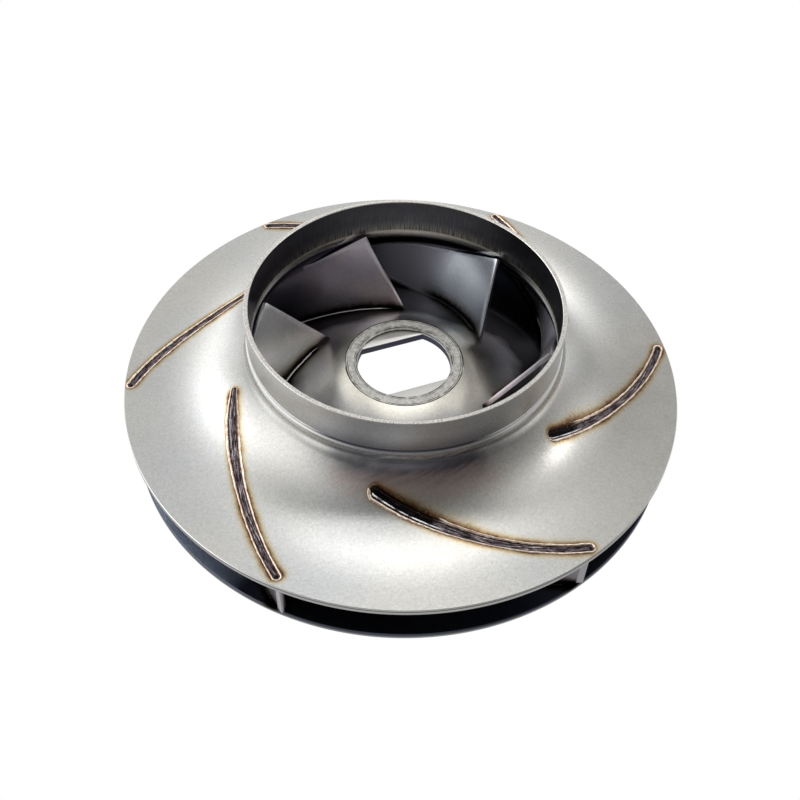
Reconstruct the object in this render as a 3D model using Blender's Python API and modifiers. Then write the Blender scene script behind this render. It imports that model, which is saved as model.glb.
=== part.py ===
import math

import bmesh
import bpy
import numpy as np

# A stamped and welded closed pump impeller, lying on its back plate with the eye up.
# Metres, +Z up, origin at the middle of the underside.

# Driving sizes of the front shroud. From a nearly flat rim the sheet curls up more and more
# steeply, as a trumpet does, to a short lip at the eye.
RIM_RADIUS = 0.0850
RIM_HEIGHT = 0.0170
RIM_SLOPE = 0.02
CURL_POWER = 3.25
FILLET_RADIUS = 0.0068
LIP_RADIUS = 0.0473
LIP_HEIGHT = 0.0342
LIP_STRAIGHT = 0.0010
LIP_SHEET = 0.0016
RIM_SHEET = 0.0020

# Driving sizes of the eye ring that stands on the lip
EYE_INNER = 0.0456
EYE_OUTER = 0.0469
EYE_TOP = 0.0461

# Driving sizes of the back shroud, a flat annulus that rises as a cone to the hub
BACK_RADIUS = 0.0837
BACK_SHEET = 0.0020
HUB_SEAT_RADIUS = 0.0184
HUB_SEAT_HEIGHT = 0.0204
HUB_BEND_RADIUS = 0.030
HUB_BEND_START = math.radians(18)
CONE_SLOPE = math.radians(29)
BACK_FILLET = 0.010

# Driving sizes of the hub: a thin land over a plate with a double-D hole
LAND_BORE = 0.0147
LAND_THICK = 0.0009
PLATE_BORE = 0.0145
PLATE_THICK = 0.0025
ACROSS_FLATS = 0.0205
FLATS_ANGLE = math.radians(22.4)

# Driving sizes of the vanes
VANE_COUNT = 6
VANE_SHEET = 0.0015
VANE_END = 0.0834
EDGE_TOP = (0.0439, 108.4, 0.0347)
EDGE_FOOT_RADIUS = 0.0279
TAB_START = 0.0497
LEAN_END = 0.0595
LEAN_SHAPE = 1.5

# Angle of the vane at each radius, along its top and along the stretch of its foot that leans
TOP_STATIONS = ((0.0497, 131.6), (0.0553, 146.9), (0.0595, 156.0), (0.0680, 170.0), (0.0765, 180.7),
                (0.0834, 188.8))
FOOT_STATIONS = ((0.0279, 90.6), (0.0340, 112.0), (0.0400, 126.0), (0.0460, 136.2), (0.0525, 145.9),
                 (0.0595, 156.0))
STATION_DEGREE = 4

# Driving sizes of the welds that close the slots over and under each vane
WELD_WIDTH = 0.0030
WELD_CROWN = 0.0002
ROOT_DEPTH = 0.0002
BACK_WELD = (0.0310, 0.0812)
LOWEST_WELD = 0.0001

# The front welds are made by hand. Each has its own start and end radius, and lies off its even
# place by a turn, a tilt and a bow in degrees, which count from the middle of its length.
FRONT_WELDS = (
    (-0.75, -1.5, 1.6, 0.0515, 0.0838),
    (1.1, 0.4, -1.6, 0.0524, 0.0829),
    (0.9, 0.9, -0.35, 0.0528, 0.0834),
    (0.8, -0.8, 1.2, 0.0525, 0.0834),
    (-0.3, 0.0, 0.0, 0.0515, 0.0838),
    (-1.8, 0.0, 0.0, 0.0515, 0.0840),
)
WELD_MIDDLE = 0.067
WELD_HALF = 0.018

GAP = 0.0003
CUTTER_OVER = 0.004
FLATS_SLAB = (0.050, 0.020)

# How finely each shape is faceted
STEPS = 72
CURL_STEPS = 9
FILLET_STEPS = 5
CONE_STEPS = 5
BEND_STEPS = 3
EDGE_STATIONS = 5
TAB_STATIONS = 15
VANE_ROWS = 3
BEAD_STATIONS = 18
BEAD_CAP = (35, 65, 82)
TANGENT_ROUNDS = 20
MERGE = 0.00002

STEEL = (0.62, 0.61, 0.59, 1.0)
DARK_STEEL = (0.30, 0.27, 0.26, 1.0)

TOP_CURVE = np.polyfit(*zip(*TOP_STATIONS), STATION_DEGREE)
FOOT_CURVE = np.polyfit(*zip(*FOOT_STATIONS), STATION_DEGREE)


def clear_scene():
    for item in list(bpy.data.objects):
        bpy.data.objects.remove(item, do_unlink=True)


def new_collection(name):
    group = bpy.data.collections.new(name)
    bpy.context.scene.collection.children.link(group)
    return group


def steel(name, color, roughness):
    material = bpy.data.materials.new(name)
    material.use_nodes = True
    shader = material.node_tree.nodes["Principled BSDF"]
    shader.inputs["Base Color"].default_value = color
    shader.inputs["Roughness"].default_value = roughness
    shader.inputs["Metallic"].default_value = 1.0
    return material


def mesh_object(name, mesh, group, material=None):
    item = bpy.data.objects.new(name, mesh)
    group.objects.link(item)
    if material is not None:
        mesh.materials.append(material)
    return item


def hide_cutter(item):
    item.hide_render = True
    item.display_type = "WIRE"


# Turned shapes

def turn(name, outline, group, material=None):
    """Revolve a closed outline of (radius, height) points; its outer side runs top to bottom."""
    mesh = bpy.data.meshes.new(name)
    count = len(outline)
    edges = [(i, (i + 1) % count) for i in range(count)]
    mesh.from_pydata([(radius, 0, height) for radius, height in outline], edges, [])
    item = mesh_object(name, mesh, group, material)
    screw = item.modifiers.new("turned", "SCREW")
    screw.steps = STEPS
    screw.render_steps = STEPS
    screw.use_merge_vertices = True
    screw.merge_threshold = MERGE
    screw.use_smooth_shade = True
    return item


def arc(center, radius, start, end, count):
    """Points on an arc; angles in radians from the +radius direction."""
    points = []
    for i in range(count + 1):
        angle = start + (end - start) * i / count
        points.append((center[0] + radius * math.cos(angle), center[1] + radius * math.sin(angle)))
    return points


def spread(low, high, count):
    return [low + (high - low) * i / count for i in range(count + 1)]


# Section of the front shroud

FILLET_CENTER = (LIP_RADIUS + FILLET_RADIUS, LIP_HEIGHT - LIP_STRAIGHT)

# Each face of the sheet: the radius of its fillet, and its height at the rim
OUTER_FACE = (FILLET_RADIUS, RIM_HEIGHT)
INNER_FACE = (FILLET_RADIUS + LIP_SHEET, RIM_HEIGHT - RIM_SHEET)


def curl_foot(face):
    """Slope, radius and height where a face's curl runs into its fillet."""
    bend, base = face
    angle = math.atan(1)
    for _ in range(TANGENT_ROUNDS):
        radius = FILLET_CENTER[0] - bend * math.sin(angle)
        height = FILLET_CENTER[1] - bend * math.cos(angle)
        inward = RIM_RADIUS - radius
        angle = math.atan(RIM_SLOPE + CURL_POWER * (height - base - RIM_SLOPE * inward) / inward)
    return angle, radius, height


def face_height(radius, face):
    """Height of a face of the front shroud: the fillet near the lip, and the curl from there to the rim."""
    bend, base = face
    _, foot, foot_height = curl_foot(face)
    if radius < foot:
        reach = FILLET_CENTER[0] - radius
        return FILLET_CENTER[1] - math.sqrt(max(bend ** 2 - reach ** 2, 0))
    inward = max(RIM_RADIUS - radius, 0)
    curl = foot_height - base - RIM_SLOPE * (RIM_RADIUS - foot)
    return base + RIM_SLOPE * inward + curl * (inward / (RIM_RADIUS - foot)) ** CURL_POWER


def front_top(radius):
    return face_height(radius, OUTER_FACE)


def front_underside(radius):
    return face_height(radius, INNER_FACE)


def front_outline():
    straight = math.pi
    level = math.pi * 1.5
    slope, foot, _ = curl_foot(OUTER_FACE)
    outside = [(LIP_RADIUS, LIP_HEIGHT)]
    outside += arc(FILLET_CENTER, OUTER_FACE[0], straight, level - slope, FILLET_STEPS)
    outside += [(r, front_top(r)) for r in spread(foot, RIM_RADIUS, CURL_STEPS)[1:]]
    slope, foot, _ = curl_foot(INNER_FACE)
    inside = [(r, front_underside(r)) for r in spread(RIM_RADIUS, foot, CURL_STEPS)[:-1]]
    inside += arc(FILLET_CENTER, INNER_FACE[0], level - slope, straight, FILLET_STEPS)
    inside.append((LIP_RADIUS - LIP_SHEET, LIP_HEIGHT))
    return outside + inside


# Section of the back shroud

BEND_CENTER = (HUB_SEAT_RADIUS - HUB_BEND_RADIUS * math.sin(HUB_BEND_START),
               HUB_SEAT_HEIGHT - HUB_BEND_RADIUS * math.cos(HUB_BEND_START))
BEND_FOOT = (BEND_CENTER[0] + HUB_BEND_RADIUS * math.sin(CONE_SLOPE),
             BEND_CENTER[1] + HUB_BEND_RADIUS * math.cos(CONE_SLOPE))
CONE_END = BEND_FOOT[0] + (BEND_FOOT[1] - BACK_SHEET) / math.tan(CONE_SLOPE)
BACK_CENTER = (CONE_END + BACK_FILLET * math.tan(CONE_SLOPE / 2), BACK_SHEET + BACK_FILLET)


def back_top(radius):
    """Height of the back shroud's upper face."""
    if radius < BEND_FOOT[0]:
        reach = radius - BEND_CENTER[0]
        return BEND_CENTER[1] + math.sqrt(HUB_BEND_RADIUS ** 2 - reach ** 2)
    if radius < BACK_CENTER[0] - BACK_FILLET * math.sin(CONE_SLOPE):
        return BEND_FOOT[1] - (radius - BEND_FOOT[0]) * math.tan(CONE_SLOPE)
    if radius < BACK_CENTER[0]:
        reach = BACK_CENTER[0] - radius
        return BACK_CENTER[1] - math.sqrt(BACK_FILLET ** 2 - reach ** 2)
    return BACK_SHEET


def back_outline():
    flat = math.pi * 1.5
    cone = flat - CONE_SLOPE
    up = math.pi / 2
    bend = (up - HUB_BEND_START, up - CONE_SLOPE)
    outer = arc(BEND_CENTER, HUB_BEND_RADIUS, bend[0], bend[1], BEND_STEPS)
    outer += arc(BACK_CENTER, BACK_FILLET, cone, flat, CONE_STEPS)
    outer += [(BACK_RADIUS, BACK_SHEET), (BACK_RADIUS, 0)]
    outer[0] = (HUB_SEAT_RADIUS + GAP / 2, outer[0][1])
    under = arc(BACK_CENTER, BACK_FILLET + BACK_SHEET, flat, cone, CONE_STEPS)
    under += arc(BEND_CENTER, HUB_BEND_RADIUS - BACK_SHEET, bend[1], bend[0], BEND_STEPS)
    under[-1] = (HUB_SEAT_RADIUS + GAP / 2, under[-1][1])
    return outer + under


# Lofted shapes: the twisted vanes and the weld beads that follow them

def loft(name, sections, group, material=None):
    """Bridge rings of points in order and close both ends."""
    shape = bmesh.new()
    rings = [[shape.verts.new(point) for point in section] for section in sections]
    count = len(rings[0])
    for ring, following in zip(rings, rings[1:]):
        for i in range(count):
            j = (i + 1) % count
            shape.faces.new((ring[i], ring[j], following[j], following[i]))
    shape.faces.new(rings[0])
    shape.faces.new(list(reversed(rings[-1])))
    bmesh.ops.recalc_face_normals(shape, faces=shape.faces)
    mesh = bpy.data.meshes.new(name)
    shape.to_mesh(mesh)
    shape.free()
    return mesh_object(name, mesh, group, material)


def plan_point(radius, degrees):
    angle = math.radians(degrees)
    return np.array((radius * math.cos(angle), radius * math.sin(angle)))


def top_point(radius):
    return plan_point(radius, np.polyval(TOP_CURVE, radius))


def foot_point(radius):
    if radius < LEAN_END:
        return plan_point(radius, np.polyval(FOOT_CURVE, radius))
    return top_point(radius)


def weld_point(radius, index):
    """A point of a front weld's middle line, in plan."""
    turn, tilt, bow = FRONT_WELDS[index][:3]
    share = (radius - WELD_MIDDLE) / WELD_HALF
    off = turn + tilt * share + bow * share ** 2
    return plan_point(radius, np.polyval(TOP_CURVE, radius) + off + index * 360 / VANE_COUNT)


def foot_radius(radius):
    """Radius of the foot below a point of the top: the vane leans over near its leading edge."""
    if radius >= LEAN_END:
        return radius
    share = (LEAN_END - radius) / (LEAN_END - EDGE_TOP[0])
    return radius - (EDGE_TOP[0] - EDGE_FOOT_RADIUS) * share ** LEAN_SHAPE


def vane_stations():
    """Pairs of plan points, foot and top, with the height of a free top edge or None under the shroud."""
    edge = plan_point(EDGE_TOP[0], EDGE_TOP[1])
    tab = top_point(TAB_START)
    tab_height = front_underside(TAB_START) - GAP
    stations = []
    for share in spread(0, 1, EDGE_STATIONS)[:-1]:
        top = edge + (tab - edge) * share
        radius = EDGE_TOP[0] + (TAB_START - EDGE_TOP[0]) * share
        height = EDGE_TOP[2] + (tab_height - EDGE_TOP[2]) * share
        stations.append((foot_point(foot_radius(radius)), top, height))
    for radius in spread(TAB_START, VANE_END, TAB_STATIONS):
        stations.append((foot_point(foot_radius(radius)), top_point(radius), None))
    return stations


def sideways(before, after):
    along = (after - before) / np.linalg.norm(after - before)
    return np.array((-along[1], along[0]))


def vane_section(station, foot_side, top_side):
    """Ring of points round the sheet: up one face and down the other."""
    foot, top, free_height = station
    ring = []
    for sign in (1, -1):
        low = foot + sign * foot_side * VANE_SHEET / 2
        high = top + sign * top_side * VANE_SHEET / 2
        low_height = back_top(np.linalg.norm(low)) + GAP
        reach = np.linalg.norm(high)
        high_height = front_underside(reach) - GAP
        if free_height is not None:
            inside_lip = reach < LIP_RADIUS - LIP_SHEET - GAP
            high_height = free_height if inside_lip else min(free_height, high_height)
        face = []
        for share in spread(0, 1, VANE_ROWS):
            plan = low + (high - low) * share
            face.append((plan[0], plan[1], low_height + (high_height - low_height) * share))
        ring += face if sign == 1 else list(reversed(face))
    return ring


def vane(index, group, material):
    stations = vane_stations()
    sections = []
    for i, station in enumerate(stations):
        before = stations[max(i - 1, 0)]
        after = stations[min(i + 1, len(stations) - 1)]
        sections.append(vane_section(station, sideways(before[0], after[0]), sideways(before[1], after[1])))
    item = loft(f"vane_{index + 1}", sections, group, material)
    item.rotation_euler.z = index * math.tau / VANE_COUNT
    return item


def bead_sections(point_at, reach, width, low_at, high_at, turned=0.0):
    """Sections of a bead with round ends, between two heights given as functions of radius."""
    radii = spread(reach[0] + width / 2, reach[1] - width / 2, BEAD_STATIONS)
    middle = [point_at(radius) for radius in radii]
    widths = [width / 2] * len(middle)
    for end, inward in ((0, 1), (-1, -2)):
        away = middle[end] - middle[inward]
        away = away / np.linalg.norm(away)
        caps = [(middle[end] + away * width / 2 * math.sin(a), width / 2 * math.cos(a))
                for a in map(math.radians, BEAD_CAP)]
        points = [cap[0] for cap in caps]
        halves = [cap[1] for cap in caps]
        if end == 0:
            middle = list(reversed(points)) + middle
            widths = list(reversed(halves)) + widths
        else:
            middle = middle + points
            widths = widths + halves
    swing = np.array(((math.cos(turned), -math.sin(turned)), (math.sin(turned), math.cos(turned))))
    sections = []
    for i, point in enumerate(middle):
        side = sideways(middle[max(i - 1, 0)], middle[min(i + 1, len(middle) - 1)])
        ring = []
        for sign in (1, -1):
            plan = swing @ (point + sign * side * widths[i])
            radius = np.linalg.norm(plan)
            heights = (low_at(radius), high_at(radius))
            ring += [(plan[0], plan[1], z) for z in (heights if sign == 1 else heights[::-1])]
        sections.append(ring)
    return sections


# Sub-parts

def slot_cutters(name, lines, low_at, high_at, group):
    """A cutter for each slot of a shroud, wider than its bead by the gap on each side."""
    wider = WELD_WIDTH + 2 * GAP
    pieces = []
    for index, (point_at, reach, turned) in enumerate(lines):
        longer = (reach[0] - GAP, reach[1] + GAP)
        sections = bead_sections(point_at, longer, wider, low_at, high_at, turned)
        pieces.append(loft(f"{name}_{index + 1}", sections, group))
        hide_cutter(pieces[-1])
    return pieces


def cut(item, cutters):
    for cutter in cutters:
        boolean = item.modifiers.new("slot", "BOOLEAN")
        boolean.operation = "DIFFERENCE"
        boolean.object = cutter
        boolean.solver = "EXACT"


def front_lines():
    """For each front weld: its middle line, its reach, and how far that is turned."""
    return [(lambda radius, index=index: weld_point(radius, index), FRONT_WELDS[index][3:], 0.0)
            for index in range(VANE_COUNT)]


def back_lines():
    return [(foot_point, BACK_WELD, index * math.tau / VANE_COUNT) for index in range(VANE_COUNT)]


def build_front_shroud(parts, cutters, material):
    shroud = turn("front_shroud", front_outline(), parts, material)
    cut(shroud, slot_cutters("front_slot", front_lines(), lambda r: front_underside(r) - CUTTER_OVER,
                             lambda r: front_top(r) + CUTTER_OVER, cutters))


def build_back_shroud(parts, cutters, material):
    shroud = turn("back_shroud", back_outline(), parts, material)
    cut(shroud, slot_cutters("back_slot", back_lines(), lambda r: back_top(r) - BACK_SHEET - CUTTER_OVER,
                             lambda r: back_top(r) + CUTTER_OVER, cutters))


def build_eye_ring(parts, material):
    foot = LIP_HEIGHT + GAP
    ring = [(EYE_OUTER, EYE_TOP), (EYE_OUTER, foot), (EYE_INNER, foot), (EYE_INNER, EYE_TOP)]
    turn("eye_ring", ring, parts, material)


def build_hub(parts, cutters, material):
    outer = HUB_SEAT_RADIUS - GAP / 2
    low = HUB_SEAT_HEIGHT - LAND_THICK
    land = [(outer, HUB_SEAT_HEIGHT), (outer, low), (LAND_BORE, low), (LAND_BORE, HUB_SEAT_HEIGHT)]
    turn("hub_land", land, parts, material)
    high = low - GAP
    bottom = high - PLATE_THICK
    plate = disc("hub_plate", outer, bottom, high, parts, material)
    hole = disc("double_d_hole", PLATE_BORE, bottom - CUTTER_OVER, high + CUTTER_OVER, cutters)
    flats = flats_slab((bottom + high) / 2, cutters)
    keep = hole.modifiers.new("flats", "BOOLEAN")
    keep.operation = "INTERSECT"
    keep.object = flats
    keep.solver = "EXACT"
    cut(plate, [hole])
    hide_cutter(hole)
    hide_cutter(flats)


def flats_slab(height, cutters):
    """The slab that the round hole is cut down to, as wide as the hole is across its flats."""
    length, depth = FLATS_SLAB
    slab = bpy.data.meshes.new("across_flats")
    shape = bmesh.new()
    bmesh.ops.create_cube(shape, size=1)
    bmesh.ops.scale(shape, vec=(length, ACROSS_FLATS, depth), verts=shape.verts)
    shape.to_mesh(slab)
    shape.free()
    item = mesh_object("across_flats", slab, cutters)
    item.location.z = height
    item.rotation_euler.z = FLATS_ANGLE
    return item


def disc(name, radius, low, high, group, material=None):
    mesh = bpy.data.meshes.new(name)
    shape = bmesh.new()
    bmesh.ops.create_cone(shape, cap_ends=True, segments=STEPS, radius1=radius, radius2=radius,
                          depth=high - low)
    shape.to_mesh(mesh)
    shape.free()
    item = mesh_object(name, mesh, group, material)
    item.location.z = (low + high) / 2
    return item


def weld_underside(radius):
    """Underside of a back weld, a hair above the plane that the impeller rests on."""
    return max(back_top(radius) - BACK_SHEET, LOWEST_WELD)


def build_welds(parts, material):
    for index, (point_at, reach, turned) in enumerate(front_lines()):
        bead = bead_sections(point_at, reach, WELD_WIDTH, lambda r: front_underside(r) + ROOT_DEPTH,
                             lambda r: front_top(r) + WELD_CROWN, turned)
        loft(f"front_weld_{index + 1}", bead, parts, material)
    for index, (point_at, reach, turned) in enumerate(back_lines()):
        bead = bead_sections(point_at, reach, WELD_WIDTH, weld_underside,
                             lambda r: back_top(r) - ROOT_DEPTH, turned)
        loft(f"back_weld_{index + 1}", bead, parts, material)


def main():
    clear_scene()
    parts = new_collection("pump_impeller")
    cutters = new_collection("cutters")
    build_front_shroud(parts, cutters, steel("satin shroud steel", STEEL, 0.35))
    build_eye_ring(parts, steel("turned ring steel", STEEL, 0.30))
    build_back_shroud(parts, cutters, steel("back plate steel", STEEL, 0.38))
    build_hub(parts, cutters, steel("hub steel", STEEL, 0.40))
    vane_steel = steel("vane steel", STEEL, 0.40)
    for index in range(VANE_COUNT):
        vane(index, parts, vane_steel)
    build_welds(parts, steel("weld metal", DARK_STEEL, 0.45))


main()
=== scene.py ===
import math

import bpy
import numpy as np
from mathutils import Matrix, Vector


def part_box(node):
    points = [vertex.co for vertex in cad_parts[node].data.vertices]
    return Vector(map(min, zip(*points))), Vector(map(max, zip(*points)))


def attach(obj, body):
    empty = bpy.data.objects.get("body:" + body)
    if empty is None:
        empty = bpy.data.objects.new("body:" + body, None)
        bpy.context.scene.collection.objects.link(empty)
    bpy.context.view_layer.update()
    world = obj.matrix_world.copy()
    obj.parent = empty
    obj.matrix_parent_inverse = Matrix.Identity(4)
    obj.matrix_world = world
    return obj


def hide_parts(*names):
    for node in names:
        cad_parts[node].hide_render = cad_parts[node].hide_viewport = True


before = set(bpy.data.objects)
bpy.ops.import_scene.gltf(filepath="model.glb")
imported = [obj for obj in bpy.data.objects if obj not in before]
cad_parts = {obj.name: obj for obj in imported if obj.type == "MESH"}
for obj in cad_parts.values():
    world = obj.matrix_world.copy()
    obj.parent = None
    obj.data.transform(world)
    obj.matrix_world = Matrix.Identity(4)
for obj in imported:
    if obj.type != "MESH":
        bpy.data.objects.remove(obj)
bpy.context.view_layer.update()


# The photograph's view. The camera stands in front of the impeller and looks down at the eye.
# Lengths are metres, and the two picture values are pixels of the 800 pixel wide photograph.

PICTURE_WIDTH = 800
FOCAL_PIXELS = 1002.6
LENS_AXIS_X = 430
SENSOR = 36.0
CAMERA_PLACE = (0.0, -0.2135, 0.2459)
LOOK_DOWN = math.radians(48.71)
LOOK_ASIDE = math.radians(2.34)
LEAN = math.radians(3.77)

bpy.ops.object.camera_add()
camera = bpy.context.object
camera.name = "photo_camera"
camera.matrix_world = (
    Matrix.Translation(CAMERA_PLACE)
    @ Matrix.Rotation(-LOOK_ASIDE, 4, "Z")
    @ Matrix.Rotation(math.pi / 2 - LOOK_DOWN, 4, "X")
    @ Matrix.Rotation(LEAN, 4, "Z")
)
camera.data.sensor_width = SENSOR
camera.data.lens = FOCAL_PIXELS * SENSOR / PICTURE_WIDTH
camera.data.shift_x = (PICTURE_WIDTH / 2 - LENS_AXIS_X) / PICTURE_WIDTH
camera.data.clip_start = 0.01
bpy.context.scene.camera = camera
bpy.context.scene.view_settings.view_transform = "Standard"


# The studio: a white table that only the camera sees, as behind a cut-out picture, and a pale room
# with soft round patches of light, most of them behind and on the left, and a soft lamp overhead.

TABLE_SIZE = 8.0
TABLE_DROP = 0.0001
TABLE_GLOW = 1.0
LAMP_HEIGHT = 1.3
LAMP_SIZE = 0.9
LAMP_POWER = 1.9

# The room's light: a factor on all of it, its level without patches, and the light that comes up from
# the table, which takes over where the way down is between these two slopes
ROOM_LEVEL = 0.82
ROOM_BASE = 0.19
TABLE_LIGHT = 0.45
TABLE_EDGE = (-0.45, -0.15)

# Elevation and azimuth of each patch in degrees, with 0 at the right and 90 behind, and its strength.
# They stand by tightness: at 20 a patch fades out at about 25 degrees, and at 260 at about 7.
PATCHES = {20: (
    (70, 60, 1.09), (70, 120, 0.76), (50, 0, 0.79), (50, 144, 0.33), (50, 180, 0.25), (50, 216, 0.44),
    (30, 25, 0.95), (30, 102, 0.71), (30, 154, 2.50), (30, 180, 0.85), (30, 205, 0.90), (10, 77, 3.08),
    (10, 128, 1.52), (-12, 0, 0.91), (-12, 36, 0.94), (-12, 144, 0.60), (-12, 180, 1.40), (-12, 216, 1.26),
    (10, 192, 0.60), (10, 270, 0.60),
), 260: ((37, 10, 3.6),)}


class Wire:
    """A socket of a shader: sums and products of wires add the Math nodes."""

    def __init__(self, tree, socket=None):
        self.tree = tree
        self.socket = socket

    def node(self, kind, settings=None, inputs=None, output=0):
        """Any other node: its type, then its settings, then the values or links of its sockets."""
        made = self.tree.nodes.new("ShaderNode" + kind)
        for name, value in (settings or {}).items():
            if name == "stops":
                set_stops(made.color_ramp, value)
            else:
                setattr(made, name, value)
        for name, value in (inputs or {}).items():
            if isinstance(value, Wire):
                self.tree.links.new(value.socket, made.inputs[name])
            else:
                made.inputs[name].default_value = value
        return Wire(self.tree, made.outputs[output])

    def math(self, operation, *others):
        return self.node("Math", {"operation": operation}, dict(enumerate((self, *others))))

    def __add__(self, other):
        return self.math("ADD", other)

    def __sub__(self, other):
        return self.math("SUBTRACT", other)

    def __mul__(self, other):
        return self.math("MULTIPLY", other)

    def __truediv__(self, other):
        return self.math("DIVIDE", other)

    def __rsub__(self, other):
        return self.node("Math", {"operation": "SUBTRACT"}, {0: other, 1: self})

    __radd__ = __add__
    __rmul__ = __mul__

    def ramp(self, *stops):
        """The color at this value, between stops of (place, color)."""
        return self.node("ValToRGB", {"stops": stops}, {"Fac": self})

    def step(self, low, high):
        """0 below low and 1 above high, smooth between them."""
        settings = {"interpolation_type": "SMOOTHSTEP", "clamp": True}
        return self.node("MapRange", settings, {"Value": self, "From Min": low, "From Max": high})

    def blend(self, kind, share, start, end):
        return self.node("Mix", {"data_type": "RGBA", "blend_type": kind}, {0: share, 6: start, 7: end}, 2)

    def mix(self, start, end, kind="MIX"):
        """The color start where this value is 0, and end (or start blended with it) where it is 1."""
        return self.blend(kind, self, start, end)

    def times(self, color):
        """This color multiplied by another."""
        return self.blend("MULTIPLY", 1.0, self, color)


def set_stops(ramp, stops):
    while len(ramp.elements) < len(stops):
        ramp.elements.new(1.0)
    for element, (place, color) in zip(ramp.elements, stops):
        element.position = place
        element.color = (*color, 1)


bpy.ops.mesh.primitive_plane_add(size=TABLE_SIZE, location=(0, 0, -TABLE_DROP))
table = bpy.context.object
table.name = "table"
paper = bpy.data.materials.new("white paper")
paper.use_nodes = True
for name, value in (("Base Color", (0, 0, 0, 1)), ("Roughness", 1.0), ("Specular IOR Level", 0.0),
                    ("Emission Color", (1, 1, 1, 1)), ("Emission Strength", TABLE_GLOW)):
    paper.node_tree.nodes["Principled BSDF"].inputs[name].default_value = value
table.data.materials.append(paper)
table.visible_diffuse = table.visible_glossy = table.visible_shadow = False

bpy.ops.object.light_add(type="AREA", location=(0, 0, LAMP_HEIGHT))
lamp = bpy.context.object
lamp.name = "overhead_lamp"
lamp.data.shape = "DISK"
lamp.data.size = LAMP_SIZE
lamp.data.energy = LAMP_POWER

room = bpy.data.worlds.new("room")
room.use_nodes = True
bpy.context.scene.world = room
way = Wire(room.node_tree).node("TexCoord", None, None, "Generated")
up_way = way.node("SeparateXYZ", None, {0: way}, "Z")
level = up_way.step(*TABLE_EDGE) * (ROOM_BASE - TABLE_LIGHT) + TABLE_LIGHT
for tightness, patches in PATCHES.items():
    for elevation, azimuth, strength in patches:
        flat = math.cos(math.radians(elevation))
        middle = (flat * math.cos(math.radians(azimuth)), flat * math.sin(math.radians(azimuth)),
                  math.sin(math.radians(elevation)))
        facing = way.node("VectorMath", {"operation": "DOT_PRODUCT"}, {0: way, 1: middle}, "Value")
        level = level + ((facing - 1) * tightness).math("EXPONENT") * strength
backdrop = room.node_tree.nodes["Background"]
backdrop.inputs["Color"].default_value = (1, 1, 1, 1)
room.node_tree.links.new((level * ROOM_LEVEL).socket, backdrop.inputs["Strength"])


# The front shroud is a 2 mm stainless sheet that curls up like a trumpet to a short lip at the eye.
# Six slots are cut through it, and the vanes are welded in from outside, which tints the steel.

shroud_low, shroud_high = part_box("front_shroud")
RIM_RADIUS = shroud_high.x
RIM_SHEET = 0.0020
RIM_TOP = shroud_low.z + RIM_SHEET
RIM_SLOPE = 0.02
CURL_POWER = 3.25
FILLET_RADIUS = 0.0068
LIP_RADIUS = 0.0473
LIP_TOP = shroud_high.z
LIP_STRAIGHT = 0.0010
LIP_SHEET = 0.0016
EDGE_ROUND = 0.00025
LIP_CHAMFER = 0.0005
FILLET_CENTER = (LIP_RADIUS + FILLET_RADIUS, LIP_TOP - LIP_STRAIGHT)
OUTER_FACE = (FILLET_RADIUS, RIM_TOP)
INNER_FACE = (FILLET_RADIUS + LIP_SHEET, RIM_TOP - RIM_SHEET)
SLOPE_ROUNDS = 20

# Sides of all turned pieces, and steps along the shroud's curl and fillet, on its outer and inner face
SIDES = 300
CURL_STEPS = (32, 22)
FILLET_STEPS = (14, 10)

VANE_COUNT = 6
VANE_TURN = math.tau / VANE_COUNT
TOP_STATIONS = ((0.0497, 131.6), (0.0553, 146.9), (0.0595, 156.0), (0.0680, 170.0), (0.0765, 180.7),
                (0.0834, 188.8))
TOP_CURVE = np.polyfit(*zip(*TOP_STATIONS), 4)
SLOT_WIDTH = 0.0026
SLOT_STEPS = 40
FRONT_SLOT_REACH = (0.008, 0.040)

# Each front weld's turn, tilt and bow off its even place, in degrees, and its start and end radius
FRONT_WELDS = (
    (-0.75, -1.5, 1.6, 0.0515, 0.0838),
    (1.1, 0.4, -1.6, 0.0524, 0.0829),
    (0.9, 0.9, -0.35, 0.0528, 0.0834),
    (0.8, -0.8, 1.2, 0.0525, 0.0834),
    (-0.3, 0.0, 0.0, 0.0515, 0.0838),
    (-1.8, 0.0, 0.0, 0.0515, 0.0840),
)
WELD_MIDDLE = 0.067
WELD_HALF = 0.018


def spread(low, high, count):
    return [low + (high - low) * i / count for i in range(count + 1)]


def arc(center, radius, start, end, count):
    """Points of an arc of the section, with angles from the outward direction."""
    return [(center[0] + radius * math.cos(a), center[1] + radius * math.sin(a))
            for a in spread(start, end, count)]


def curl_foot(face):
    """Slope, radius and height where a face's curl runs into its fillet, closed in on by rounds."""
    bend, base = face
    angle = math.atan(1)
    for _ in range(SLOPE_ROUNDS):
        radius = FILLET_CENTER[0] - bend * math.sin(angle)
        height = FILLET_CENTER[1] - bend * math.cos(angle)
        inward = RIM_RADIUS - radius
        angle = math.atan(RIM_SLOPE + CURL_POWER * (height - base - RIM_SLOPE * inward) / inward)
    return angle, radius, height


def face_height(radius, face):
    """Height of a face of the shroud: the fillet near the lip, and the curl from there to the rim."""
    bend, base = face
    _, foot, foot_height = curl_foot(face)
    if radius < foot:
        return FILLET_CENTER[1] - math.sqrt(max(bend ** 2 - (FILLET_CENTER[0] - radius) ** 2, 0))
    inward = max(RIM_RADIUS - radius, 0)
    curl = foot_height - base - RIM_SLOPE * (RIM_RADIUS - foot)
    return base + RIM_SLOPE * inward + curl * (inward / (RIM_RADIUS - foot)) ** CURL_POWER


def front_top(radius):
    return face_height(radius, OUTER_FACE)


def front_under(radius):
    return face_height(radius, INNER_FACE)


def vane_angle(radius):
    """Angle, in degrees, where the first vane's top crosses a radius."""
    return np.polyval(TOP_CURVE, radius)


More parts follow.
